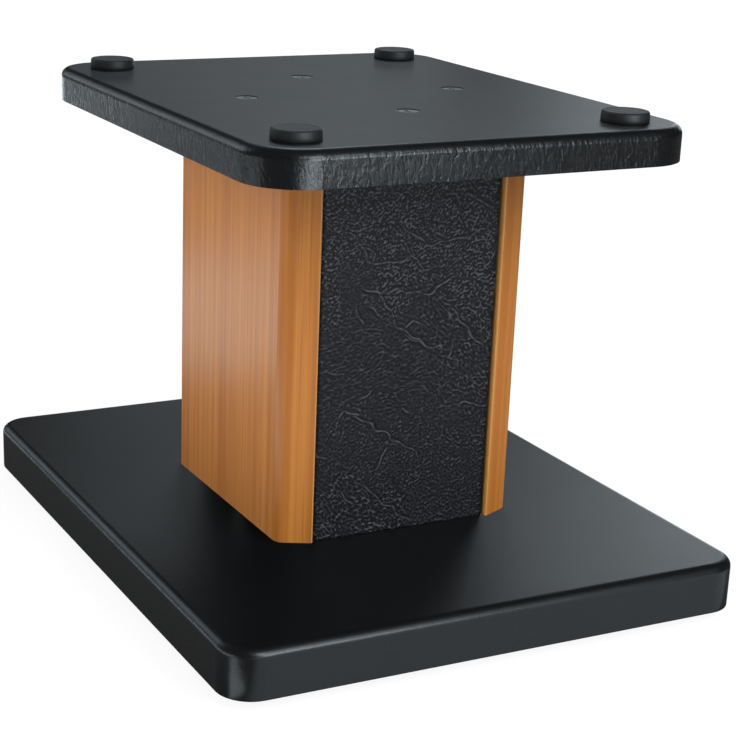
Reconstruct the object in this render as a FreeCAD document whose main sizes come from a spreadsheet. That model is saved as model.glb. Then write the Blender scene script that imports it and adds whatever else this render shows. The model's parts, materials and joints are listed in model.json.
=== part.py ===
import FreeCAD, Part
import os
import Sketcher
from FreeCAD import Placement, Rotation, Vector

# A low stand for one loudspeaker: a base plate, a hollow column of four boards and a top plate.
# Millimetres. +Z is up, the front faces -Y, and the origin is on the floor under the middle.

doc = FreeCAD.newDocument("speaker_stand")
sizes = doc.addObject("Spreadsheet::Sheet", "sizes")

driving_sizes = [
    ("base_width", 245, "base plate, left to right"),
    ("base_depth", 305, "base plate, front to back"),
    ("base_thickness", 22, "base plate board"),
    ("base_corner", 15, "base plate corner radius in plan"),
    ("top_width", 200, "top plate, left to right"),
    ("top_depth", 250, "top plate, front to back"),
    ("top_thickness", 15, "top plate board"),
    ("top_corner", 24, "top plate corner radius in plan"),
    ("edge_round", 4, "round-over along a plate's upper edge"),
    ("column_height", 171, "between the two plates"),
    ("column_width", 118, "over the two cheeks"),
    ("column_depth", 126, "over the cheeks' front and back edges"),
    ("wall", 15, "thickness of each board of the column"),
    ("facet_drop", 7, "how far a cheek's slanted strip falls back over its width"),
    ("cheek_round", 6, "rounding between a cheek's strip and its side"),
    ("cheek_ease", 0.8, "easing of a cheek's edge beside the vinyl"),
    ("skin_recess", 2, "vinyl face behind the cheeks' front edge"),
    ("skin_thickness", 1, "vinyl with its backing"),
    ("board_round", 2, "rounding of the board under the vinyl"),
    ("block_side", 16, "glue block, across"),
    ("block_gap", 8, "from a glue block's end to the plate"),
    ("block_chamfer", 5, "free corner of a glue block"),
    ("screw_reach", 51.5, "from the middle to each screw"),
    ("screw_head", 9.8, "head diameter"),
    ("screw_shank", 5, "shank diameter"),
    ("screw_length", 50, "head to tip"),
    ("screw_sink", 0.3, "head below the board's face"),
    ("screw_clearance", 0.4, "how much wider the plate's hole is than the shank"),
    ("recess_span", 5.2, "cross recess, tip to tip"),
    ("recess_slot", 1.2, "cross recess, width of one slot"),
    ("recess_depth", 2.2, "cross recess depth"),
    ("pilot_spare", 2, "how much deeper the pilot hole is than the screw"),
    ("pad_diameter", 20.5, "rubber pad on the top plate"),
    ("pad_height", 4.5, "rubber pad height"),
    ("pad_bevel", 0.6, "bevel round a pad's face"),
    ("pad_inset", 24, "pad centre from each side of the top plate"),
    ("foot_diameter", 28, "rubber foot under the base plate"),
    ("foot_height", 4, "rubber foot height"),
    ("foot_inset", 21, "foot centre from each side of the base plate"),
]

for row, (alias, number, meaning) in enumerate(driving_sizes, start=1):
    sizes.set(f"A{row}", alias)
    sizes.set(f"B{row}", str(number))
    sizes.setAlias(f"B{row}", alias)
    sizes.set(f"C{row}", meaning)
doc.recompute()

# Places that several pieces share, as expressions on the sheet.
base_top = "(sizes.foot_height + sizes.base_thickness)"
column_top = f"({base_top} + sizes.column_height)"
stand_top = f"({column_top} + sizes.top_thickness)"
cheek_inside = "(sizes.column_width / 2 - sizes.wall)"
skin_face = "(sizes.column_depth / 2 - sizes.skin_recess)"
board_face = f"({skin_face} - sizes.skin_thickness)"
board_back = f"({board_face} - sizes.wall)"
board_half = f"({cheek_inside} - sizes.skin_thickness)"

half_turn = Rotation(Vector(0, 0, 1), 180)
upside_down = Rotation(Vector(1, 0, 0), 180)

sub_parts = []


def value(expression):
    return float(sizes.evalExpression(expression))


def new_body(name):
    body = doc.addObject("PartDesign::Body", name)
    body.Label = name
    sub_parts.append(body)
    return body


def place(body, x="0", y="0", z="0", rotation=None):
    """Puts a finished body where its expressions say."""
    body.Placement = Placement(Vector(0, 0, 0), rotation or Rotation())
    body.setExpression("Placement.Base.x", f"({x}) * 1 mm")
    body.setExpression("Placement.Base.y", f"({y}) * 1 mm")
    body.setExpression("Placement.Base.z", f"({z}) * 1 mm")


def origin_feature(body, role):
    return next(item for item in body.Origin.OriginFeatures if item.Role == role)


def new_sketch(body, name, role="XY_Plane", lift=None):
    sketch = body.newObject("Sketcher::SketchObject", f"{body.Name}_{name}")
    sketch.AttachmentSupport = (origin_feature(body, role), [""])
    sketch.MapMode = "FlatFace"
    if lift:
        sketch.setExpression("AttachmentOffset.Base.z", f"({lift}) * 1 mm")
    return sketch


def draw_outline(sketch, points):
    """Draws a closed outline of straight lines. Each point is a pair of expressions."""
    corners = [Vector(value(x), value(y), 0) for x, y in points]
    count = len(corners)
    for index in range(count):
        sketch.addGeometry(Part.LineSegment(corners[index], corners[(index + 1) % count]), False)
    for index in range(count):
        sketch.addConstraint(Sketcher.Constraint("Coincident", index, 2, (index + 1) % count, 1))
    for index, point in enumerate(points):
        for axis, expression in zip("XY", point):
            size = value(expression)
            if abs(size) < 1e-9:
                anchor = -2 if axis == "X" else -1
                sketch.addConstraint(Sketcher.Constraint("PointOnObject", index, 1, anchor))
                continue
            rule = Sketcher.Constraint(f"Distance{axis}", -1, 1, index, 1, size)
            number = sketch.addConstraint(rule)
            sketch.renameConstraint(number, f"point{index}_{axis.lower()}")
            sketch.setExpression(f"Constraints.point{index}_{axis.lower()}", expression)


def draw_circle(sketch, x, y, diameter):
    """Draws a circle. All three arguments are expressions."""
    centre = Vector(value(x), value(y), 0)
    sketch.addGeometry(Part.Circle(centre, Vector(0, 0, 1), value(diameter) / 2), False)
    for axis, expression in zip("XY", (x, y)):
        size = value(expression)
        if abs(size) < 1e-9:
            anchor = -2 if axis == "X" else -1
            sketch.addConstraint(Sketcher.Constraint("PointOnObject", 0, 3, anchor))
            continue
        number = sketch.addConstraint(Sketcher.Constraint(f"Distance{axis}", -1, 1, 0, 3, size))
        sketch.renameConstraint(number, f"centre_{axis.lower()}")
        sketch.setExpression(f"Constraints.centre_{axis.lower()}", expression)
    number = sketch.addConstraint(Sketcher.Constraint("Diameter", 0, value(diameter)))
    sketch.renameConstraint(number, "diameter")
    sketch.setExpression("Constraints.diameter", diameter)


def rectangle(left, right, front, back):
    return [(left, front), (right, front), (right, back), (left, back)]


def pad(body, sketch, length):
    feature = body.newObject("PartDesign::Pad", f"{body.Name}_pad")
    feature.Profile = sketch
    feature.setExpression("Length", length)
    doc.recompute()
    return feature


def dress(body, kind, name, base, chosen, size_property, size):
    """Adds a fillet or a chamfer on the edges of base that chosen(edge) accepts."""
    edges = base.Shape.Edges
    names = [f"Edge{number}" for number, edge in enumerate(edges, start=1) if chosen(edge)]
    if not names:
        raise RuntimeError(f"{body.Label}: no edge for {name}")
    feature = body.newObject(f"PartDesign::{kind}", f"{body.Name}_{name}")
    feature.Base = (base, names)
    feature.setExpression(size_property, size)
    doc.recompute()
    return feature


def fillet(body, name, base, chosen, radius):
    return dress(body, "Fillet", name, base, chosen, "Radius", radius)


def chamfer(body, name, base, chosen, size):
    return dress(body, "Chamfer", name, base, chosen, "Size", size)


def stands_at(edge, x, y):
    """True for an upright edge at a plan position."""
    box = edge.BoundBox
    upright = box.ZLength > 1 and box.XLength < 1e-4 and box.YLength < 1e-4
    return upright and abs(box.Center.x - x) < 1e-3 and abs(box.Center.y - y) < 1e-3


def lies_at(edge, z):
    """True for an edge that lies flat at a height."""
    box = edge.BoundBox
    return box.ZLength < 1e-4 and abs(box.Center.z - z) < 1e-3


def drill(body, name, x, y, lift, depth, upward):
    """Cuts a round pilot hole into the end of a board, and tests that it removed wood."""
    before = body.Shape.Volume
    sketch = new_sketch(body, f"{name}_sketch", lift=lift)
    draw_circle(sketch, x, y, "sizes.screw_shank")
    pocket = body.newObject("PartDesign::Pocket", f"{body.Name}_{name}")
    pocket.Profile = sketch
    pocket.setExpression("Length", depth)
    pocket.Reversed = upward
    doc.recompute()
    if body.Shape.Volume > before - 1:
        raise RuntimeError(f"{body.Label}: {name} cuts nothing")


def drill_both_ends(body, x, y):
    """The pilots for one screw through the base plate and one through the top plate."""
    grip = "sizes.screw_length + sizes.screw_sink + sizes.pilot_spare"
    drill(body, "base_pilot", x, y, None, f"{grip} - sizes.base_thickness", True)
    drill(body, "top_pilot", x, y, "sizes.column_height", f"{grip} - sizes.top_thickness", False)


def four_times_round(body, name, features):
    """Repeats features at every quarter turn about the stand's upright axis."""
    pattern = body.newObject("PartDesign::PolarPattern", f"{body.Name}_{name}")
    pattern.Originals = features
    pattern.Axis = (origin_feature(body, "Z_Axis"), [""])
    pattern.Angle = 360
    pattern.Occurrences = 4
    body.Tip = pattern
    doc.recompute()


def make_plate(name, width, depth, thickness, corner, holes_from_below, height):
    """A board with rounded corners, a rounded upper edge and four countersunk holes."""
    body = new_body(name)
    outline = new_sketch(body, "outline")
    left, right = f"-{width} / 2", f"{width} / 2"
    front, back = f"-{depth} / 2", f"{depth} / 2"
    draw_outline(outline, rectangle(left, right, front, back))
    board = pad(body, outline, thickness)

    half_width, half_depth = value(width) / 2, value(depth) / 2
    corners = [(sx * half_width, sy * half_depth) for sx in (-1, 1) for sy in (-1, 1)]
    rounded = fillet(body, "corners", board,
                     lambda edge: any(stands_at(edge, x, y) for x, y in corners), corner)
    fillet(body, "upper_edge", rounded,
           lambda edge: lies_at(edge, value(thickness)), "sizes.edge_round")

    before = body.Shape.Volume
    lift = None if holes_from_below else thickness
    spot = new_sketch(body, "hole_centre", lift=lift)
    draw_circle(spot, "sizes.screw_reach", "0", "sizes.screw_shank")
    hole = body.newObject("PartDesign::Hole", f"{name}_hole")
    hole.Profile = spot
    hole.DepthType = "ThroughAll"
    hole.ThreadType = "None"
    hole.HoleCutType = "Countersink"
    hole.Reversed = holes_from_below
    hole.setExpression("Diameter", "sizes.screw_shank + sizes.screw_clearance")
    hole.setExpression("HoleCutDiameter", "sizes.screw_head + 2 * sizes.screw_sink")
    hole.HoleCutCountersinkAngle = 90
    doc.recompute()
    four_times_round(body, "holes", [hole])
    plain_hole = Part.makeCylinder(value("sizes.screw_shank") / 2, value(thickness)).Volume
    if body.Shape.Volume > before - 4 * plain_hole:
        raise RuntimeError(f"{name}: the screw holes are missing")
    place(body, z=height)


def make_cheek(name, rotation):
    """A side board: flat outside, with a slanted strip and a rounding towards front and back."""
    body = new_body(name)
    inside, outside = cheek_inside, "sizes.column_width / 2"
    edge, shoulder = "sizes.column_depth / 2", "(sizes.column_depth / 2 - sizes.facet_drop)"
    profile = new_sketch(body, "profile")
    draw_outline(profile, [
        (inside, f"-{edge}"), (outside, f"-{shoulder}"), (outside, shoulder), (inside, edge),
    ])
    board = pad(body, profile, "sizes.column_height")
    shoulders = [(value(outside), side * value(shoulder)) for side in (-1, 1)]
    arrises = [(value(inside), side * value(edge)) for side in (-1, 1)]
    rounded = fillet(body, "shoulders", board,
                     lambda e: any(stands_at(e, x, y) for x, y in shoulders), "sizes.cheek_round")
    fillet(body, "arrises", rounded,
           lambda e: any(stands_at(e, x, y) for x, y in arrises), "sizes.cheek_ease")
    drill_both_ends(body, "sizes.screw_reach", "0")
    place(body, z=base_top, rotation=rotation)


def make_board(name, rotation):
    """The board under the vinyl, with its two upright outer edges rounded."""
    body = new_body(name)
    outline = new_sketch(body, "outline")
    draw_outline(outline, rectangle(f"-{board_half}", board_half, f"-{board_face}", f"-{board_back}"))
    board = pad(body, outline, "sizes.column_height")
    edges = [(side * value(board_half), -value(board_face)) for side in (-1, 1)]
    fillet(body, "rounded_edges", board,
           lambda e: any(stands_at(e, x, y) for x, y in edges), "sizes.board_round")
    drill_both_ends(body, "0", "-sizes.screw_reach")
    place(body, z=base_top, rotation=rotation)


def make_skin(name, rotation):
    """Vinyl over a board's outer face, turned round its rounded edges and back along its sides."""
    body = new_body(name)
    outline = new_sketch(body, "outline")
    draw_outline(outline, [
        (f"-{cheek_inside}", f"-{board_back}"), (f"-{cheek_inside}", f"-{skin_face}"),
        (cheek_inside, f"-{skin_face}"), (cheek_inside, f"-{board_back}"),
        (board_half, f"-{board_back}"), (board_half, f"-{board_face}"),
        (f"-{board_half}", f"-{board_face}"), (f"-{board_half}", f"-{board_back}"),
    ])
    sheet = pad(body, outline, "sizes.column_height")
    outer = [(side * value(cheek_inside), -value(skin_face)) for side in (-1, 1)]
    inner = [(side * value(board_half), -value(board_face)) for side in (-1, 1)]
    folded = fillet(body, "outer_fold", sheet, lambda e: any(stands_at(e, x, y) for x, y in outer),
                    "sizes.board_round + sizes.skin_thickness")
    fillet(body, "inner_fold", folded, lambda e: any(stands_at(e, x, y) for x, y in inner),
           "sizes.board_round")
    place(body, z=base_top, rotation=rotation)


def make_glue_block(name, quarter_turns, x, y):
    """An upright block in an inside corner of the column, with its free corner taken off."""
    body = new_body(name)
    outline = new_sketch(body, "outline")
    draw_outline(outline, rectangle("-sizes.block_side", "0", "0", "sizes.block_side"))
    block = pad(body, outline, "sizes.column_height - 2 * sizes.block_gap")
    side = value("sizes.block_side")
    chamfer(body, "free_corner", block, lambda e: stands_at(e, -side, side), "sizes.block_chamfer")
    turn = Rotation(Vector(0, 0, 1), 90 * quarter_turns)
    place(body, x, y, f"{base_top} + sizes.block_gap", turn)


def make_screws(name, height, rotation):
    """Four countersunk cross-head screws, heads up at local height 0, one above each wall."""
    body = new_body(name)
    axis, rim = "sizes.screw_reach", "(sizes.screw_head / 2)"
    shank, neck = "(sizes.screw_shank / 2)", "(sizes.screw_head / 2 - sizes.screw_shank / 2)"
    half = new_sketch(body, "half_section", role="XZ_Plane")
    draw_outline(half, [
        (axis, "0"), (f"{axis} + {rim}", "0"), (f"{axis} + {shank}", f"-{neck}"),
        (f"{axis} + {shank}", "-sizes.screw_length"), (axis, "-sizes.screw_length"),
    ])
    turned = body.newObject("PartDesign::Revolution", f"{name}_turned")
    turned.Profile = half
    turned.ReferenceAxis = (half, ["Edge5"])
    turned.Angle = 360
    doc.recompute()

    before = body.Shape.Volume
    cross = new_sketch(body, "cross")
    tip, slot = "(sizes.recess_span / 2)", "(sizes.recess_slot / 2)"
    draw_outline(cross, [
        (f"{axis} + {u}", v) for u, v in (
            (f"-{tip}", f"-{slot}"), (f"-{slot}", f"-{slot}"), (f"-{slot}", f"-{tip}"),
            (slot, f"-{tip}"), (slot, f"-{slot}"), (tip, f"-{slot}"),
            (tip, slot), (slot, slot), (slot, tip),
            (f"-{slot}", tip), (f"-{slot}", slot), (f"-{tip}", slot),
        )
    ])
    recess = body.newObject("PartDesign::Pocket", f"{name}_recess")
    recess.Profile = cross
    recess.setExpression("Length", "sizes.recess_depth")
    doc.recompute()
    if body.Shape.Volume > before - 5:
        raise RuntimeError(f"{name}: the cross recess is missing")
    four_times_round(body, "group", [turned, recess])
    if len(body.Shape.Solids) != 4:
        raise RuntimeError(f"{name}: {len(body.Shape.Solids)} screws")
    place(body, z=height, rotation=rotation)


def make_rubber(name, kind, x, y, z, rotation):
    """A round rubber disc, stuck flat at local height 0."""
    body = new_body(name)
    outline = new_sketch(body, "outline")
    draw_circle(outline, "0", "0", f"sizes.{kind}_diameter")
    disc = pad(body, outline, f"sizes.{kind}_height")
    if kind == "pad":
        chamfer(body, "rim", disc, lambda e: lies_at(e, value("sizes.pad_height")), "sizes.pad_bevel")
    place(body, x, y, z, rotation)


make_plate("base_plate", "sizes.base_width", "sizes.base_depth", "sizes.base_thickness",
           "sizes.base_corner", True, "sizes.foot_height")
make_plate("top_plate", "sizes.top_width", "sizes.top_depth", "sizes.top_thickness",
           "sizes.top_corner", False, column_top)
make_cheek("right_cheek", Rotation())
make_cheek("left_cheek", half_turn)
make_board("front_board", Rotation())
make_board("back_board", half_turn)
make_skin("front_skin", Rotation())
make_skin("back_skin", half_turn)
make_screws("top_screws", f"{stand_top} - sizes.screw_sink", Rotation())
make_screws("base_screws", "sizes.foot_height + sizes.screw_sink", upside_down)

corners = [("front_right", 1, -1), ("back_right", 1, 1), ("back_left", -1, 1), ("front_left", -1, -1)]
for quarter, (corner_name, side_x, side_y) in enumerate(corners):
    make_glue_block(f"glue_block_{corner_name}", quarter,
                    f"{side_x} * {cheek_inside}", f"{side_y} * {board_back}")
    make_rubber(f"pad_{corner_name}", "pad",
                f"{side_x} * (sizes.top_width / 2 - sizes.pad_inset)",
                f"{side_y} * (sizes.top_depth / 2 - sizes.pad_inset)", stand_top, Rotation())
    make_rubber(f"foot_{corner_name}", "foot",
                f"{side_x} * (sizes.base_width / 2 - sizes.foot_inset)",
                f"{side_y} * (sizes.base_depth / 2 - sizes.foot_inset)",
                "sizes.foot_height", upside_down)

doc.recompute()
for item in doc.Objects:
    if "Invalid" in item.State or "Error" in item.State:
        raise RuntimeError(f"{item.Label} failed: {item.State}")
for piece in sub_parts:
    if piece.Shape.isNull() or not piece.Shape.isValid():
        raise RuntimeError(f"{piece.Label} has no valid shape")

os.makedirs("parts", exist_ok=True)
for piece in sub_parts:
    piece.Shape.exportStep(f"parts/{piece.Label}.step")
    print(piece.Label, len(piece.Shape.Solids), "solid(s)", round(piece.Shape.Volume / 1000, 2), "cm3")
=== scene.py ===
import json
import math

import bmesh
import bpy
import numpy as np
from mathutils import Matrix, Vector


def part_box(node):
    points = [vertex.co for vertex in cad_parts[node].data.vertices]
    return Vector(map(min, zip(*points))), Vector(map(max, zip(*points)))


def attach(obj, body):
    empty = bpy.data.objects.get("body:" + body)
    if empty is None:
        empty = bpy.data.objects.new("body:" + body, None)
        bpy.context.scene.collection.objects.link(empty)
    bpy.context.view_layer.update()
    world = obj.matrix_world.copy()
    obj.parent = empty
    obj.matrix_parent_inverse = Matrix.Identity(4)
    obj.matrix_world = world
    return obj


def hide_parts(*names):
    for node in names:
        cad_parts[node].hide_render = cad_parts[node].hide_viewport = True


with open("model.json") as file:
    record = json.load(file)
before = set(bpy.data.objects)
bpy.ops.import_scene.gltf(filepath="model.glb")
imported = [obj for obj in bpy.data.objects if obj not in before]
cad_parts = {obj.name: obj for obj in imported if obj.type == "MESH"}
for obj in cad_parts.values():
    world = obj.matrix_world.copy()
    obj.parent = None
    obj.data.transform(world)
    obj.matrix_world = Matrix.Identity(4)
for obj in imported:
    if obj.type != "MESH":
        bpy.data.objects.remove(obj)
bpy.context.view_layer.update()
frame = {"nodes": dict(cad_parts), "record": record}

# A low stand for one loudspeaker. Metres, +Z up, and the front with its vinyl panel faces -Y.
mm = 0.001
nodes = frame["nodes"]


class Wire:  # a socket that takes part in sums
    def __init__(self, finish, socket):
        self.finish, self.socket = finish, socket

    def __add__(self, other):
        return self.finish.sum("ADD", self, other)

    def __sub__(self, other):
        return self.finish.sum("SUBTRACT", self, other)

    def __rsub__(self, other):
        return self.finish.sum("SUBTRACT", other, self)

    def __mul__(self, other):
        return self.finish.sum("MULTIPLY", self, other)

    __radd__ = __add__
    __rmul__ = __mul__


class Finish:  # a material, or the world, and what makes its nodes
    def __init__(self, owner):
        self.owner = owner
        owner.use_nodes = True
        self.tree = owner.node_tree

    def node(self, kind, settings=None, values=None, output=0):
        made = self.tree.nodes.new("ShaderNode" + kind)
        for key, value in (settings or {}).items():
            setattr(made, key, value)
        for key, value in (values or {}).items():
            self.feed(made.inputs[key], value)
        return Wire(self, made.outputs[output])

    def feed(self, socket, value):
        if isinstance(value, Wire):
            self.tree.links.new(value.socket, socket)
        elif socket.type == "RGBA" and len(value) == 3:
            socket.default_value = (*value, 1)
        else:
            socket.default_value = value

    def sum(self, operation, first, second=0.0):
        return self.node("Math", {"operation": operation}, {0: first, 1: second})

    def blend(self, share, first, second):
        return self.node("Mix", {"data_type": "RGBA"}, {0: share, 6: first, 7: second}, 2)

    def ramp(self, value, low, high):  # 0 at low, 1 at high, smooth between
        return self.node("MapRange", {"interpolation_type": "SMOOTHSTEP"},
                         {"Value": value, "From Min": low, "From Max": high})

    def swing(self, field, reach):  # a field of 0 to 1 as up to half the reach either way
        return reach * (field - 0.5)

    def place(self):  # on the object, in metres
        return self.node("TexCoord", output="Object")

    def along(self, vector, axis):
        return self.node("SeparateXYZ", None, {0: vector}, axis)

    def stretched(self, scale, lean=0.0):  # the place leant over, then scaled evenly or along X, Y and Z
        place = self.place()
        if lean:
            place = self.node("Mapping", None, {"Vector": place, "Rotation": (lean, lean, 0)})
        scale = scale if isinstance(scale, tuple) else (scale,) * 3
        return self.node("VectorMath", {"operation": "MULTIPLY"}, {0: place, 1: scale})

    def noise(self, scale, detail=2.0, rough=0.5, twist=0.0, lean=0.0, output=0):
        values = {"Vector": self.stretched(scale, lean), "Scale": 1.0}
        values.update({"Detail": detail, "Roughness": rough, "Distortion": twist})
        return self.node("TexNoise", None, values, output)

    def bump(self, height, distance, strength=1.0, under=None):
        values = {"Height": height, "Distance": distance, "Strength": strength}
        if under:
            values["Normal"] = under
        return self.node("Bump", None, values)

    def surface(self, **values):
        shader = self.tree.nodes["Principled BSDF"]
        for key, value in values.items():
            self.feed(shader.inputs[key.replace("_", " ")], value)
        return self.owner


def newFinish(name):
    return Finish(bpy.data.materials.new(name))


def upright(finish, low, high):  # 1 on upright faces, 0 on level ones
    normal = finish.node("NewGeometry", output="Normal")
    level = finish.sum("ABSOLUTE", finish.along(normal, "Z"))
    return 1 - finish.ramp(level, low, high)


def shaded(colour, share):
    return [channel * share for channel in colour]


blackFoilLook = {
    "colour": (0.0042, 0.0048, 0.0056), "cloud": 35, "darkest": 0.85, "lightest": 1.2,
    "roughness": 0.38, "faceRoughness": 0.28, "faceTurn": (0.2, 0.7),  # an upright face is smoother
    "wrinkleSwing": 0.1, "cloudSwing": 0.06,
    "wrinkle": (560, 560, 210), "wrinkleLean": 0.22, "wrinkleDepth": 0.24 * mm, "wrinkleTurn": (0.75, 0.98),
    "weakWrinkle": 0.25, "wrinkleHeight": (0.05, 0.15),  # weak on the base plate, full on the top plate
    "grain": 2600, "grainDepth": 0.012 * mm,
}


def makeBlackFoil():
    look, finish = blackFoilLook, newFinish("black foil")
    face = upright(finish, *look["faceTurn"])
    raised = finish.ramp(finish.along(finish.place(), "Z"), *look["wrinkleHeight"])
    strength = look["weakWrinkle"] + (1 - look["weakWrinkle"]) * raised
    wrinkled = upright(finish, *look["wrinkleTurn"]) * strength
    wrinkle = finish.noise(look["wrinkle"], 3, 0.55, 0.6, look["wrinkleLean"])
    cloud = finish.noise(look["cloud"], 3)
    relief = finish.bump(finish.noise(look["grain"], 3, 0.6), look["grainDepth"])
    relief = finish.bump(wrinkle * wrinkled, look["wrinkleDepth"], under=relief)
    dark, light = shaded(look["colour"], look["darkest"]), shaded(look["colour"], look["lightest"])
    rough = look["roughness"] + (look["faceRoughness"] - look["roughness"]) * face
    rough = rough + finish.swing(wrinkle, look["wrinkleSwing"]) * wrinkled
    rough = rough + finish.swing(cloud, look["cloudSwing"])
    return finish.surface(Base_Color=finish.blend(cloud, dark, light), Roughness=rough, Normal=relief)


cherryFoilLook = {
    "dark": (0.4, 0.135, 0.024), "light": (0.57, 0.225, 0.046), "streak": (0.27, 0.075, 0.014),
    "bands": (60, 60, 1.6), "fibres": (330, 330, 3.2), "pores": (1300, 1300, 14),
    "fibreShare": 0.65, "figure": (0.33, 0.67), "streaks": (0.58, 0.72), "streakShare": 0.4,
    "wearAndArrisHighlight": (0.75, 0.4, 0.12), "arrisHighlightShare": 0.6, "arris": (44.4 * mm, 45.2 * mm),  # a painted highlight, lighter along the arris beside the vinyl
    "roughness": 0.3, "fibreSwing": 0.1, "shine": 0.3, "poreShare": 0.5, "depth": 0.03 * mm, "strength": 0.6,
}


def makeCherryFoil():
    look, finish = cherryFoilLook, newFinish("cherry foil")
    bands = finish.noise(look["bands"], twist=0.5)
    fibres = finish.noise(look["fibres"], 4, 0.62, 0.3)
    pores = finish.noise(look["pores"], 1)
    figure = finish.ramp(bands * (1 - look["fibreShare"]) + fibres * look["fibreShare"], *look["figure"])
    tone = finish.blend(figure, look["dark"], look["light"])
    tone = finish.blend(finish.ramp(pores, *look["streaks"]) * look["streakShare"], tone, look["streak"])
    # Painted highlight: the foil is lighter where it comes within about a millimetre of the vinyl.
    aside = finish.sum("ABSOLUTE", finish.along(finish.place(), "X"))
    tone = finish.blend((1 - finish.ramp(aside, *look["arris"])) * look["arrisHighlightShare"], tone, look["wearAndArrisHighlight"])
    relief = finish.bump(pores * look["poreShare"] + fibres, look["depth"], look["strength"])
    rough = look["roughness"] + finish.swing(fibres, look["fibreSwing"])
    return finish.surface(Base_Color=tone, Roughness=rough, Specular_IOR_Level=look["shine"], Normal=relief)


# Colour follows the relief's tone: ridges lighter and valleys darker, partly worn ridge tops and partly
# painted highlight and painted shade, and upper flanks lighter than lower ones as painted light from above.
vinylLook = {
    "valley": (0.0035, 0.0038, 0.0046), "ridge": (0.072, 0.075, 0.087), "raised": (-0.12, 0.47),
    "roughness": 0.45, "polish": 0.1, "grainSwing": 0.1, "shine": 0.18,
    "cell": 1150, "cellWarp": 300, "cellEdge": 0.28, "cellDepth": 0.06 * mm, "grain": 3600, "grainShare": 0.35,
}


def makeVinyl():
    look, finish = vinylLook, newFinish("grained vinyl")
    # The tone attribute carries painted light and shade: lighter ridges and upper flanks, darker valleys and
    # lower flanks.
    tone = finish.node("Attribute", {"attribute_name": "tone"}, output="Fac")
    raised = finish.ramp(tone, *look["raised"])
    place = finish.node("VectorMath", {"operation": "ADD"},
                        {0: finish.stretched(look["cell"]), 1: finish.noise(look["cellWarp"], output="Color")})
    edges = finish.node("TexVoronoi", {"feature": "DISTANCE_TO_EDGE"},
                        {"Vector": place, "Scale": 1.0}, "Distance")
    grain = finish.noise(look["grain"])
    relief = finish.ramp(edges, 0.0, look["cellEdge"]) + grain * look["grainShare"]
    rough = look["roughness"] - look["polish"] * raised + finish.swing(grain, look["grainSwing"])
    return finish.surface(Base_Color=finish.blend(raised, look["valley"], look["ridge"]), Roughness=rough,
                          Specular_IOR_Level=look["shine"], Normal=finish.bump(relief, look["cellDepth"]))


rubberLook = {
    "colour": (0.012, 0.013, 0.014), "roughness": 0.55, "dust": 300, "dusty": (0.5, 0.8), "dustShare": 0.4,
    "dustTone": 1.8, "dustSwing": 0.15, "grain": 2400, "grainDepth": 0.02 * mm,
}


def makeRubber(name):
    look, finish = rubberLook, newFinish(name)
    dust = finish.noise(look["dust"], 3, 0.6)
    tone = finish.blend(finish.ramp(dust, *look["dusty"]) * look["dustShare"],
                        look["colour"], shaded(look["colour"], look["dustTone"]))
    rough = look["roughness"] + finish.swing(dust, look["dustSwing"])
    relief = finish.bump(finish.noise(look["grain"], 3, 0.6), look["grainDepth"])
    return finish.surface(Base_Color=tone, Roughness=rough, Normal=relief)


screwLook = {
    "dark": (0.3, 0.33, 0.3), "light": (0.8, 0.85, 0.8), "wear": 1500, "wearAndArrisHighlight": (0.5, 0.75),
    "metal": 0.9, "roughness": 0.3, "wearSwing": 0.2, "depth": 0.02 * mm,
}


def makeScrewBlack():
    look, finish = screwLook, newFinish("black screw")
    wear = finish.noise(look["wear"], 3, 0.6)
    tone = finish.blend(finish.ramp(wear, *look["wearAndArrisHighlight"]), look["dark"], look["light"])
    rough = look["roughness"] + finish.swing(wear, look["wearSwing"])
    return finish.surface(Base_Color=tone, Metallic=look["metal"], Roughness=rough,
                          Normal=finish.bump(wear, look["depth"]))


rawBoardLook = {
    "dark": (0.33, 0.22, 0.13), "light": (0.5, 0.37, 0.24), "fibre": 900, "mottle": (0.35, 0.65),
    "roughness": 0.85, "fibreSwing": 0.1, "depth": 0.08 * mm,
}


def makeRawBoard():
    look, finish = rawBoardLook, newFinish("raw fibreboard")
    fibre = finish.noise(look["fibre"], 4, 0.7)
    tone = finish.blend(finish.ramp(fibre, *look["mottle"]), look["dark"], look["light"])
    rough = look["roughness"] + finish.swing(fibre, look["fibreSwing"])
    return finish.surface(Base_Color=tone, Roughness=rough, Normal=finish.bump(fibre, look["depth"]))


blockWoodLook = {
    "light": (0.62, 0.42, 0.22), "dark": (0.45, 0.26, 0.11), "rings": (260, 260, 6), "figure": (0.35, 0.65),
    "roughness": 0.6, "ringSwing": 0.1, "depth": 0.05 * mm,
}


def makeBlockWood():
    look, finish = blockWoodLook, newFinish("planed softwood")
    rings = finish.noise(look["rings"], 3, 0.55, 0.4)
    tone = finish.blend(finish.ramp(rings, *look["figure"]), look["light"], look["dark"])
    rough = look["roughness"] + finish.swing(rings, look["ringSwing"])
    return finish.surface(Base_Color=tone, Roughness=rough, Normal=finish.bump(rings, look["depth"]))


finishes = {
    "black_board": makeBlackFoil(), "cherry_foil": makeCherryFoil(), "grained_vinyl": makeVinyl(),
    "pad_rubber": makeRubber("pad rubber"), "foot_rubber": makeRubber("foot rubber"),
    "black_screw": makeScrewBlack(), "raw_board": makeRawBoard(), "block_wood": makeBlockWood(),
}
for part in frame["record"]["subparts"]:
    slots = nodes[part["node"]].data.materials
    slots.clear()
    slots.append(finishes[part["material_slot"]])
for cheek in ("left_cheek", "right_cheek"):
    nodes[cheek].visible_glossy = False  # the satin black base shows no warm image of the wood
print("finishes made")


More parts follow.
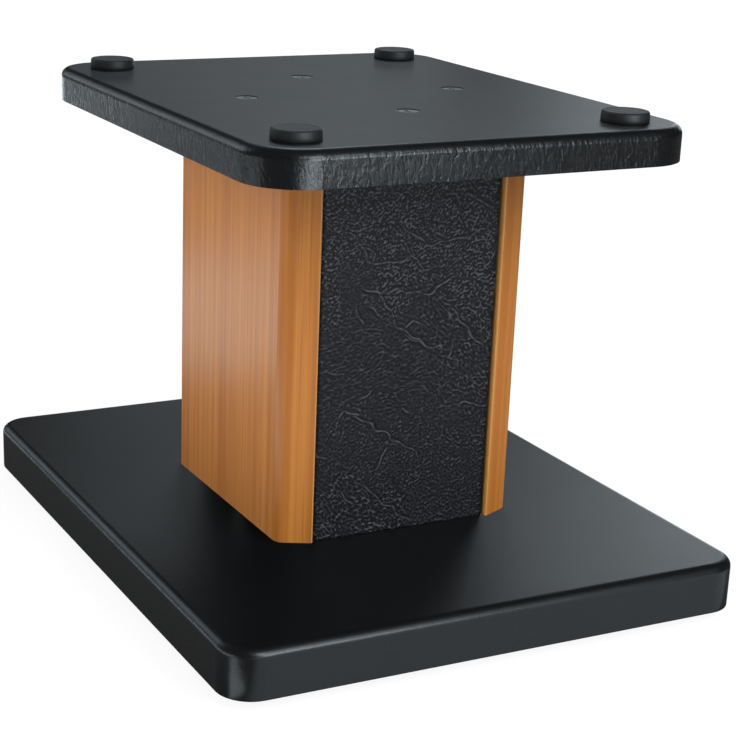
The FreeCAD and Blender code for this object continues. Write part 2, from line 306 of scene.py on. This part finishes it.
def newPiece(name, slot, vertices, faces, stoodFor):
    mesh = bpy.data.meshes.new(name)
    mesh.from_pydata([tuple(v) for v in vertices], [], faces)
    mesh.materials.append(finishes[slot])
    tidy = bmesh.new()
    tidy.from_mesh(mesh)
    bmesh.ops.recalc_face_normals(tidy, faces=tidy.faces)
    tidy.to_mesh(mesh)
    tidy.free()
    mesh.shade_smooth()
    piece = bpy.data.objects.new(name, mesh)
    bpy.context.scene.collection.objects.link(piece)
    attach(piece, "root")
    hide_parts(stoodFor)
    return piece


# Vinyl: a sheet over the board's face, turned round both upright edges. Its creased grain is in the mesh.
# Lengths are millimetres, and places on the face count from its upper left corner.
skinShape = {
    "step": 0.4, "fold": 3.0, "sheet": 1.0, "legStep": 3.0,
    "relief": 0.28, "paintedFlankShade": 0.4,  # how high a ridge stands, and how much painted light from above lightens a ridge's upper flank and darkens its lower one
    "moat": 1.1, "moatShare": 0.6,  # the vinyl is drawn down beside what is raised
    "freeTo": 0.9, "freeOver": 0.7,  # shares of the fold: the grain fades out on the way to the legs
}
grainShape = {
    "hillLengths": (1.5, 2.6), "hillMiddle": 0.45, "hillSwing": 0.42, "hillTop": 1.5, "hillShare": 0.3,
    "lineLengths": (2.1, 4.0), "lineWidth": 0.32, "lineShare": 0.8,
    "gapLengths": (2.5, 6.6), "gaps": (-1.8, 0.0), "middle": 0.3,
    "slant": 45, "slantStretch": 1.7, "levelStretch": 2.0, "levelShare": 0.9,
    "driftLengths": (25, 60), "patchLengths": (10, 22),
}
grainZones = {  # where each zone's edge begins and ends, and how far the drift moves it
    "slantedRightOf": (38, 60, 8), "slantedBelow": (53, 75, 6), "slantedAbove": (105, 125, 6),
    "footLeftOf": (40, 60, 6), "footBelow": (135, 150, 6),
    "levelLeftOf": (40, 65, 9), "levelBelow": (66, 79, 5), "levelAbove": (105, 125, 5),
    "strongAbove": (40, 68, 10), "rightOf": (50, 75, 6), "rightAbove": (110, 150, 0),
}
grainStrength = {
    "least": 0.36, "top": 0.95, "topSlope": 0.25, "foot": 0.35, "right": 0.28, "patches": 0.12,
    "limits": (0.35, 1.4),
}
creaseShape = {
    "width": 0.3, "height": 0.72, "lowered": 0.1, "taper": 6, "leastEnd": 0.15,
    "grooveAside": 0.85, "grooveWidth": 0.4, "grooveShare": 0.35, "grooveDepth": 0.5,
    "wander": 0.5, "wanderLengths": (7, 14), "fadeLengths": (3, 8), "fade": (-1.2, 0.6), "faintest": 0.45,
    "clearWidth": 1.2, "clearGain": 3, "clearMost": 0.8,  # the grain stays off a crease
    "long": [[(36, 30), (52, 42), (75, 39)], [(10, 32), (19, 39), (23, 47), (36, 48), (49, 44)],
             [(29, 60), (53, 63), (70, 55)], [(24, 53), (33, 68), (38, 76), (59, 90)], [(17, 64), (22, 76)],
             [(11, 111), (28, 120), (46, 133), (54, 140)], [(12, 149), (20, 158)], [(22, 147), (49, 169)],
             [(68, 19), (86, 29)], [(41, 80), (58, 89)], [(63, 68), (83, 92)]],
    "shortCount": 16, "shortRun": (4, 9), "shortMargin": 4, "shortTurn": 0.6,
}


def eased(value, low, high):  # 0 at low, 1 at high, smooth between
    share = np.clip((value - low) / (high - low), 0, 1)
    return share * share * (3 - 2 * share)


def waves(size, step, shortest, longest, seed, heading=0.0, stretch=1.0):
    # seeded noise of the wavelengths from shortest to longest, drawn out along its heading
    rows, columns = size
    noise = np.fft.rfft2(np.random.default_rng(seed).standard_normal(size))
    down = np.fft.fftfreq(rows, step)[:, None]
    across = np.fft.rfftfreq(columns, step)[None, :]
    turn = math.radians(heading)
    rate = np.hypot((across * math.cos(turn) + down * math.sin(turn)) * stretch,
                    down * math.cos(turn) - across * math.sin(turn))
    middle = (1 / shortest + 1 / longest) / 2
    spread = (1 / shortest - 1 / longest) / 2
    field = np.fft.irfft2(noise * np.exp(-((rate - middle) / spread) ** 2), size)
    return field / field.std()


def wormGrain(size, step, seed, heading=0.0, stretch=1.0):  # short curved ridges, nearly 2 mm apart
    shape = grainShape
    swell = waves(size, step, *shape["hillLengths"], seed, heading, stretch)
    line = waves(size, step, *shape["lineLengths"], seed + 1, heading, stretch)
    gaps = eased(waves(size, step, *shape["gapLengths"], seed + 2, heading, stretch), *shape["gaps"])
    hills = np.clip(shape["hillMiddle"] + shape["hillSwing"] * swell, 0, shape["hillTop"])
    return shape["hillShare"] * hills + shape["lineShare"] * gaps * np.exp(-(line / shape["lineWidth"]) ** 2)


def softened(field, step, width):
    down = np.fft.fftfreq(field.shape[0], step)[:, None]
    across = np.fft.rfftfreq(field.shape[1], step)[None, :]
    kept = np.exp(-(math.pi * np.hypot(down, across) * width) ** 2)
    return np.fft.irfft2(np.fft.rfft2(field) * kept, field.shape)


def creaseField(u, v, paths, step, seed):  # a raised line along each path, with a groove on one side
    shape, size = creaseShape, u.shape
    u = u + shape["wander"] * waves(size, step, *shape["wanderLengths"], seed)
    v = v + shape["wander"] * waves(size, step, *shape["wanderLengths"], seed + 1)
    field = np.zeros(size)
    for path in paths:
        whole = sum(math.dist(a, b) for a, b in zip(path, path[1:]))
        walked = 0
        for (au, av), (bu, bv) in zip(path, path[1:]):
            length = math.dist((au, av), (bu, bv))
            along = ((u - au) * (bu - au) + (v - av) * (bv - av)) / length ** 2
            share = np.clip(along, 0, 1)
            away = np.hypot(u - au - share * (bu - au), v - av - share * (bv - av))
            side = np.sign((u - au) * (bv - av) - (v - av) * (bu - au))
            at = (walked + share * length) / whole
            strength = np.clip(np.minimum(at, 1 - at) * shape["taper"], shape["leastEnd"], 1)
            groove = np.exp(-((away * side - shape["grooveAside"]) / shape["grooveWidth"]) ** 2)
            groove *= (along > 0) * (along < 1)
            line = strength * (np.exp(-(away / shape["width"]) ** 2) - shape["grooveShare"] * groove)
            field = np.where(np.abs(line) > np.abs(field), line, field)
            walked += length
    clearest = eased(waves(size, step, *shape["fadeLengths"], seed + 2), *shape["fade"])
    return field * (shape["faintest"] + (1 - shape["faintest"]) * clearest)


def shortCreases(wide, tall, seed):
    dice, shape = np.random.default_rng(seed), creaseShape
    margin, paths = shape["shortMargin"], []
    for _ in range(shape["shortCount"]):
        u, v = dice.uniform(margin, wide - margin), dice.uniform(margin, tall - margin)
        heading = dice.uniform(0, 2 * math.pi)
        path = [(u, v)]
        for _ in range(dice.integers(1, 4)):
            reach = dice.uniform(*shape["shortRun"])
            heading += dice.normal(0, shape["shortTurn"])
            u, v = u + reach * math.cos(heading), v + reach * math.sin(heading)
            path.append((u, v))
        paths.append(path)
    return paths


def zonedGrain(size, step, u, v, seed, slant):
    # strongest at the top right, slanted below it and at the foot's left, and level at the middle left
    shape, strong = grainShape, grainStrength
    drift = waves(size, step, *shape["driftLengths"], seed)

    def past(place, zone):  # 0 before the zone's edge, 1 past it
        low, high, wander = grainZones[zone]
        return eased(place + wander * drift, low, high)

    foot = (1 - past(u, "footLeftOf")) * past(v, "footBelow")
    slanted = past(u, "slantedRightOf") * past(v, "slantedBelow") * (1 - past(v, "slantedAbove"))
    slanted = np.clip(slanted + foot, 0, 1)
    level = (1 - past(u, "levelLeftOf")) * past(v, "levelBelow") * (1 - past(v, "levelAbove"))
    grain = wormGrain(size, step, seed + 3) * (1 - slanted) * (1 - level)
    grain += wormGrain(size, step, seed + 6, slant, shape["slantStretch"]) * slanted
    grain += shape["levelShare"] * wormGrain(size, step, seed + 9, 0, shape["levelStretch"]) * level
    strength = strong["least"] + strong["foot"] * foot
    strength += strong["top"] * (1 - past(v - strong["topSlope"] * u, "strongAbove"))
    strength += strong["right"] * past(u, "rightOf") * (1 - past(v, "rightAbove"))
    strength += strong["patches"] * waves(size, step, *shape["patchLengths"], seed + 12)
    return (grain - shape["middle"]) * np.clip(strength, *strong["limits"])


def skinRelief(size, step, u, v, wide, tall, seed, flipped):
    crease, paths, slant = creaseShape, creaseShape["long"], grainShape["slant"]
    if flipped:  # the back's sheet is the other way up
        paths = [[(wide - a, tall - b) for a, b in path] for path in paths]
        grain = zonedGrain(size, step, wide - u, tall - v, seed, slant)
    else:
        grain = zonedGrain(size, step, u, v, seed, -slant)
    lines = creaseField(u, v, paths + shortCreases(wide, tall, seed + 13), step, seed + 14)
    near = softened(np.abs(lines), step, crease["clearWidth"])
    grain *= 1 - np.clip(crease["clearGain"] * near, 0, crease["clearMost"])
    relief = np.maximum(grain, crease["height"] * np.clip(lines, 0, 1) - crease["lowered"])
    relief += crease["grooveDepth"] * np.clip(lines, -1, 0)
    return relief - skinShape["moatShare"] * softened(relief, step, skinShape["moat"])


def skinPath(half, front, back):
    # the outer line in plan, from one leg's end round the front to the other's: place and outward direction
    shape = skinShape
    fold = shape["fold"]
    stops = [(-half, y, -1, 0) for y in np.arange(back, front + fold, -shape["legStep"])]
    arc = int(round(math.pi / 2 * fold / shape["step"]))
    for k in range(arc + 1):
        a = math.pi / 2 * k / arc
        out = (-math.cos(a), -math.sin(a))
        stops.append((-half + fold + fold * out[0], front + fold + fold * out[1], *out))
    flat = 2 * (half - fold)
    count = int(round(flat / shape["step"]))
    middle = [(-half + fold + flat * k / count, front, 0, -1) for k in range(1, count)]
    return np.array(stops + middle + [(-x, y, -nx, ny) for x, y, nx, ny in reversed(stops)])


def skinFaces(rows, columns):  # the grained face, a plain back, both ends and the two leg edges
    bottom, top = rows * columns, rows * columns + columns
    last = (rows - 1) * columns
    faces = []
    for r in range(rows - 1):
        faces += [(r * columns + c, r * columns + c + 1, (r + 1) * columns + c + 1, (r + 1) * columns + c)
                  for c in range(columns - 1)]
    for c in range(columns - 1):
        faces.append((c, bottom + c, bottom + c + 1, c + 1))
        faces.append((last + c, last + c + 1, top + c + 1, top + c))
        faces.append((bottom + c, top + c, top + c + 1, bottom + c + 1))
    for c in (0, columns - 1):
        faces.append([r * columns + c for r in range(rows)] + [top + c, bottom + c])
    return faces


def makeSkin(name, node, turned, seed):
    shape = skinShape
    low, high = (np.array(corner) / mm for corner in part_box(node))
    half, front, back = high[0], low[1], high[1]
    if turned:
        front, back = -high[1], -low[1]
    path = skinPath(half, front, back)
    walked = np.concatenate([[0], np.cumsum(np.hypot(*np.diff(path[:, :2], axis=0).T))])
    tall = high[2] - low[2]
    rows, columns = int(round(tall / shape["step"])) + 1, len(path)
    up = np.linspace(0, tall, rows)
    across = np.arange(0, walked[-1], shape["step"])
    u, v = np.meshgrid(across - walked[-1] / 2 + half, tall - up)
    relief = skinRelief(u.shape, shape["step"], u, v, 2 * half, tall, seed, turned)
    relief = np.array([np.interp(walked, across, row) for row in relief])
    free = (front + shape["fold"] * shape["freeTo"] - path[:, 1]) / (shape["fold"] * shape["freeOver"])
    relief *= np.clip(free, 0, 1)[None, :]
    lift = shape["relief"] * relief
    tone = relief - shape["paintedFlankShade"] * np.gradient(relief, up[1], axis=0)  # painted light from above: a ridge is lighter above than below

    outer = np.empty((rows, columns, 3))
    outer[:, :, 0] = path[:, 0] + path[:, 2] * lift
    outer[:, :, 1] = path[:, 1] + path[:, 3] * lift
    outer[:, :, 2] = low[2] + up[:, None]
    inner = np.empty((2, columns, 3))
    inner[:, :, 0] = path[:, 0] - path[:, 2] * shape["sheet"]
    inner[:, :, 1] = path[:, 1] - path[:, 3] * shape["sheet"]
    inner[:, :, 2] = np.array([low[2], high[2]])[:, None]
    vertices = np.concatenate([outer.reshape(-1, 3), inner.reshape(-1, 3)])
    if turned:
        vertices[:, :2] *= -1
    skin = newPiece(name, "grained_vinyl", vertices * mm, skinFaces(rows, columns), node)
    # the relief's tone, with its painted light from above, goes to the vinyl's colour
    values = skin.data.attributes.new("tone", "FLOAT", "POINT")
    values.data.foreach_set("value", np.concatenate([tone.ravel(), np.zeros(2 * columns)]))


makeSkin("front_vinyl", "front_skin", False, 11)
makeSkin("back_vinyl", "back_skin", True, 47)
print("vinyl made")


# Rubber: pads and feet turned from a profile. Each point is how far it lies inside the rim and below the free
# face, in millimetres.
rubberShape = {
    "around": 96,
    "pad": [(0.2, 4.5), (0, 4.32), (0.03, 2.9), (0.13, 0.8), (0.27, 0.4), (0.55, 0.12), (0.95, 0),
            (1.35, 0), (1.65, 0.08), (4.25, 0.1)],
    "foot": [(0.2, 4), (0, 3.8), (0.08, 2), (0.25, 0.8), (0.6, 0.25), (1.2, 0), (3, 0), (8, 0)],
}


def turnedPiece(kind, corner, sign):
    node, around = f"{kind}_{corner}", rubberShape["around"]
    low, high = (Vector(place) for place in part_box(node))
    centre = (low + high) / 2
    rim, free = (high.x - low.x) / 2, (high.z if sign > 0 else low.z)
    rings = [(rim - inside * mm, free - sign * below * mm) for inside, below in rubberShape[kind]]
    vertices, faces = [], []
    for radius, z in rings:
        for k in range(around):
            a = 2 * math.pi * k / around
            vertices.append((centre.x + radius * math.cos(a), centre.y + radius * math.sin(a), z))
    for ring in range(len(rings) - 1):
        for k in range(around):
            a, b = ring * around + k, ring * around + (k + 1) % around
            faces.append((a, b, b + around, a + around))
    for ring in (0, len(rings) - 1):
        vertices.append((centre.x, centre.y, rings[ring][1]))
        hub = len(vertices) - 1
        faces += [(ring * around + k, ring * around + (k + 1) % around, hub) for k in range(around)]
    newPiece(f"rubber_{node}", f"{kind}_rubber", vertices, faces, node)


for corner in ("front_left", "front_right", "back_left", "back_right"):
    turnedPiece("pad", corner, 1)
    turnedPiece("foot", corner, -1)
print("rubber made")


cameraView = {
    "place": (-0.3820, -0.7331, 0.3331), "azimuth": 26.74, "elevation": 18.86, "roll": 1.81,
    "lens": 90.14, "sensor": 36, "shift": (0.0707, 0.0897), "clip": (0.05, 20),
}


def makeCamera():
    view = cameraView
    camera = bpy.data.objects.new("camera", bpy.data.cameras.new("camera"))
    bpy.context.scene.collection.objects.link(camera)
    turn = (Matrix.Rotation(math.radians(-view["azimuth"]), 4, "Z")
            @ Matrix.Rotation(math.radians(90 - view["elevation"]), 4, "X")
            @ Matrix.Rotation(math.radians(view["roll"]), 4, "Z"))
    camera.matrix_world = Matrix.Translation(view["place"]) @ turn
    camera.data.lens = view["lens"]
    camera.data.sensor_width = view["sensor"]
    camera.data.shift_x, camera.data.shift_y = view["shift"]
    camera.data.clip_start, camera.data.clip_end = view["clip"]
    bpy.context.scene.camera = camera


floorLook = {"half": 4.0, "colour": (0.8, 0.8, 0.8), "white": 0.85, "glow": 1.07, "gloss": 0.1}


def makeFloor():
    look, finish = floorLook, newFinish("pale floor")
    mesh = bpy.data.meshes.new("floor")
    turns = ((-1, -1), (1, -1), (1, 1), (-1, 1))
    mesh.from_pydata([(x * look["half"], y * look["half"], 0) for x, y in turns], [], [(0, 1, 2, 3)])
    floor = bpy.data.objects.new("floor", mesh)
    bpy.context.scene.collection.objects.link(floor)
    seen = finish.node("LightPath", output="Is Camera Ray")
    gloss = finish.node("LightPath", output="Is Glossy Ray")
    matt = finish.node("BsdfDiffuse", None, {"Color": look["colour"]})
    glow = finish.node("Emission", None, {"Strength": seen * look["glow"] + gloss * look["gloss"]})
    mix = finish.node("MixShader", None, {0: seen * look["white"] + gloss, 1: matt, 2: glow})
    finish.feed(finish.tree.nodes["Material Output"].inputs["Surface"], mix)
    mesh.materials.append(finish.owner)


worldLook = {"matt": 0.25, "gloss": 0.03}


def makeWorld():
    world = bpy.data.worlds.new("studio")
    bpy.context.scene.world = world
    finish = Finish(world)
    seen = finish.node("LightPath", output="Is Camera Ray")
    gloss = finish.node("LightPath", output="Is Glossy Ray")
    level = seen + gloss * worldLook["gloss"] + (1 - seen - gloss) * worldLook["matt"]
    finish.feed(finish.tree.nodes["Background"].inputs["Color"], (1, 1, 1))
    finish.feed(finish.tree.nodes["Background"].inputs["Strength"], level)


# Azimuth is counted from the front (-Y) towards the right (+X). The boxes and cards show only in the gloss,
# and the wide suns light only the matt surfaces. A card lies on the floor and faces up.
boxes = [
    {"name": "high back", "azimuth": 154, "elevation": 42, "away": 1.8, "size": (0.42, 0.36), "level": 5.7},
    {"name": "middle back", "azimuth": 150, "elevation": 29, "away": 1.8, "size": (0.42, 0.36), "level": 0.55},
    {"name": "right back", "azimuth": 136, "elevation": 20, "away": 1.8, "size": (0.42, 0.36), "level": 2.0},
    {"name": "low right", "azimuth": 130, "elevation": 6, "away": 1.8, "size": (0.42, 0.36), "level": 3.9},
    {"name": "low back", "azimuth": 157, "elevation": 6, "away": 1.8, "size": (0.55, 0.36), "level": 0.65},
    {"name": "left back", "azimuth": -150, "elevation": 20, "away": 1.6, "size": (0.8, 0.7), "level": 1.6},
    {"name": "front", "azimuth": 6, "elevation": 25, "away": 1.6, "size": (0.75, 0.5), "level": 8.5},
    {"name": "low front", "azimuth": 14, "elevation": 5, "away": 1.6, "size": (0.4, 0.3), "level": 20.0},
]
cards = [
    {"name": "front", "lies": (-0.02, -1.6), "size": (0.6, 1.0), "level": 15.0},
    {"name": "middle", "lies": (0.02, -0.3), "size": (0.4, 0.1), "level": 1.5},
    {"name": "near", "lies": (0.052, -0.2), "size": (0.335, 0.09), "level": 0.63},
    {"name": "corner", "lies": (-0.147, -0.155), "size": (0.045, 0.018), "level": 1.9},
    {"name": "left end", "lies": (-0.055, -0.2), "size": (0.13, 0.09), "level": 0.4},
    {"name": "near left", "lies": (-0.28, 0.0), "size": (0.15, 0.4), "level": 2.9},
    {"name": "left", "lies": (-0.35, 0.4), "size": (0.4, 0.3), "level": 1.7},
    {"name": "left back", "lies": (-0.54, 0.95), "size": (0.4, 0.7), "level": 0.4},
    {"name": "far left", "lies": (-1.0, 0.2), "size": (0.9, 0.5), "level": 1.5},
    {"name": "far", "lies": (0.0, 1.7), "size": (0.7, 1.2), "level": 2.8},
]
suns = [
    {"name": "left", "azimuth": -85, "elevation": 20, "level": 0.51},
    {"name": "right", "azimuth": 30, "elevation": 36, "level": 0.82},
    {"name": "back", "azimuth": 165, "elevation": 45, "level": 0.3},
]
studio = {"middle": (0, 0, 0.12), "tint": (0.84, 0.935, 1.0), "sunWidth": 50, "cardHeight": 2 * mm}


def towards(azimuth, elevation):
    a, e = math.radians(azimuth), math.radians(elevation)
    return Vector((math.sin(a) * math.cos(e), -math.cos(a) * math.cos(e), math.sin(e)))


def makeLamp(light, out, place, inGloss):  # it shines against out, for the gloss or for what is matt
    lamp = bpy.data.objects.new(light.name, light)
    bpy.context.scene.collection.objects.link(lamp)
    lamp.location = place
    lamp.rotation_mode = "QUATERNION"
    lamp.rotation_quaternion = out.to_track_quat("Z", "Y")
    lamp.visible_camera = False
    lamp.visible_glossy = inGloss
    lamp.visible_diffuse = not inGloss


def makePanel(kind, panel, out, place):
    light = bpy.data.lights.new(f"{panel['name']} {kind}", "AREA")
    light.shape = "RECTANGLE"
    light.size, light.size_y = panel["size"]
    light.energy = panel["level"] * math.pi * light.size * light.size_y
    light.color = studio["tint"]
    makeLamp(light, out, place, True)


def makeLights():
    middle = Vector(studio["middle"])
    for box in boxes:
        out = towards(box["azimuth"], box["elevation"])
        makePanel("box", box, out, middle + out * box["away"])
    for card in cards:
        makePanel("card", card, Vector((0, 0, -1)), (*card["lies"], studio["cardHeight"]))
    for sun in suns:
        light = bpy.data.lights.new(f"{sun['name']} sun", "SUN")
        light.angle = math.radians(studio["sunWidth"])
        light.energy = sun["level"] * math.pi
        makeLamp(light, towards(sun["azimuth"], sun["elevation"]), middle, False)


makeCamera()
makeFloor()
makeWorld()
makeLights()
bpy.context.scene.view_settings.view_transform = "Standard"
print("studio made")
